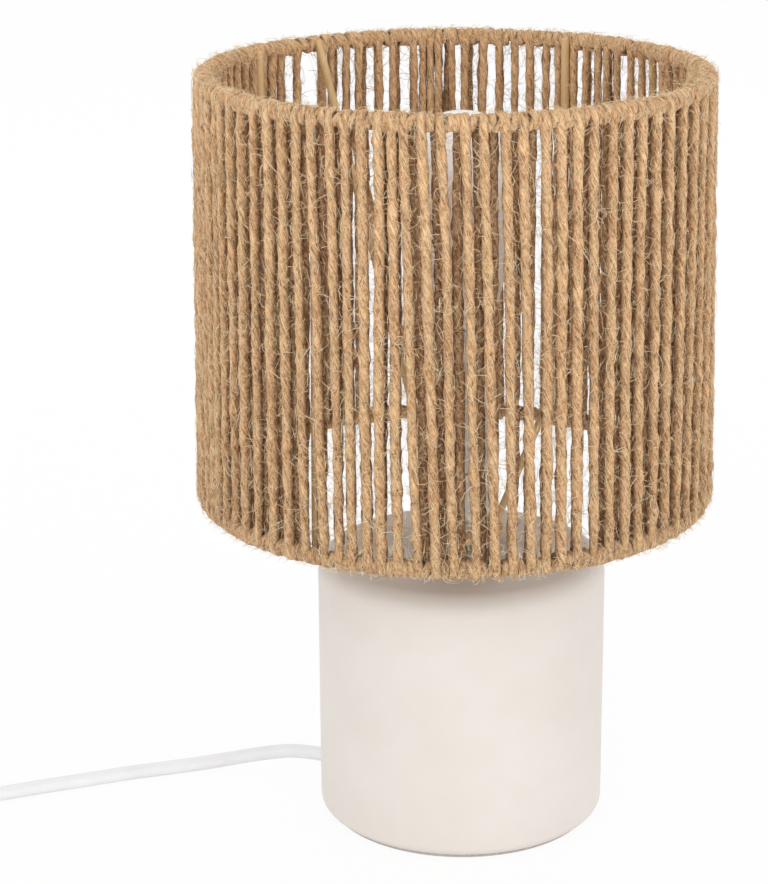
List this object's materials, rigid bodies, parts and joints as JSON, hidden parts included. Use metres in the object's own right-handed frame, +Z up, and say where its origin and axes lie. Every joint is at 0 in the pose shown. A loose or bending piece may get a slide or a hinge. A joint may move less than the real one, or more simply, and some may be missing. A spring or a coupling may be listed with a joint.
{
  "type": "table lamp",
  "caption": "Table lamp with a drum shade of jute string on a wire frame, over a cylindrical glazed ceramic base, with flex, inline switch and plug.",
  "frame": {"origin": "on the table under the middle of the base, at the underside of the felt pad", "axes": "+Z up, -Y towards the viewer of the picture, +X to the right; the flex leaves on the left, towards -X"},
  "size_m": [0.496, 0.2, 0.299],
  "materials": {
    "glaze": "matt satin glaze, warm white",
    "felt": "pale felt",
    "cord_white": "white flexible PVC",
    "zinc": "zinc plated",
    "holder_plastic": "pale moulded plastic",
    "brass": "bare brass",
    "opal": "opal white",
    "bulb_plastic": "white plastic",
    "nickel": "nickel plated",
    "wire": "brass coloured plating",
    "jute": "natural jute string",
    "switch_plastic": "white plastic"
  },
  "bodies": {
    "lamp_base": {"ceramic_base": "glaze", "felt_pad": "felt", "cord_grommet": "cord_white", "threaded_stem": "zinc", "inner_nut": "zinc", "stem_nut": "zinc", "seat_washer": "zinc", "holder_cap": "holder_plastic", "holder_skirt": "holder_plastic", "holder_insert": "holder_plastic", "socket_shell": "brass", "socket_centre_contact": "brass", "lead_inside": "cord_white", "cord_to_switch": "cord_white", "cord_to_coil": "cord_white", "cord_coil": "cord_white", "cord_to_plug": "cord_white", "coil_tie": "switch_plastic", "switch_base": "switch_plastic", "switch_cover": "switch_plastic", "switch_contacts": "brass", "plug_body": "switch_plastic", "plug_pins": "nickel"},
    "shade": {"shade_carrier_plate": "wire", "shade_arms": "wire", "shade_struts": "wire", "shade_top_ring": "wire", "shade_bottom_ring": "wire", "jute_winding": "jute"},
    "bulb": {"bulb_dome": "opal", "bulb_body": "bulb_plastic", "bulb_screw_cap": "nickel", "bulb_tip_contact": "nickel"},
    "rocker": {"switch_rocker": "switch_plastic"}
  },
  "joints": [
    {"name": "shade_turn", "type": "hinge", "parent": "lamp_base", "child": "shade", "pos_m": [0, 0, 0.1165], "axis": [0, 0, 1], "continuous": true},
    {"name": "bulb_unscrew", "type": "slide", "parent": "lamp_base", "child": "bulb", "axis": [0, 0, 1], "range_m": [0, 0.028]},
    {"name": "switch_press", "type": "hinge", "parent": "lamp_base", "child": "rocker", "pos_m": [-0.26419, -0.02576, 0.0126], "axis": [-0.342, 0.9397, 0], "range_deg": [0, 14]}
  ]
}
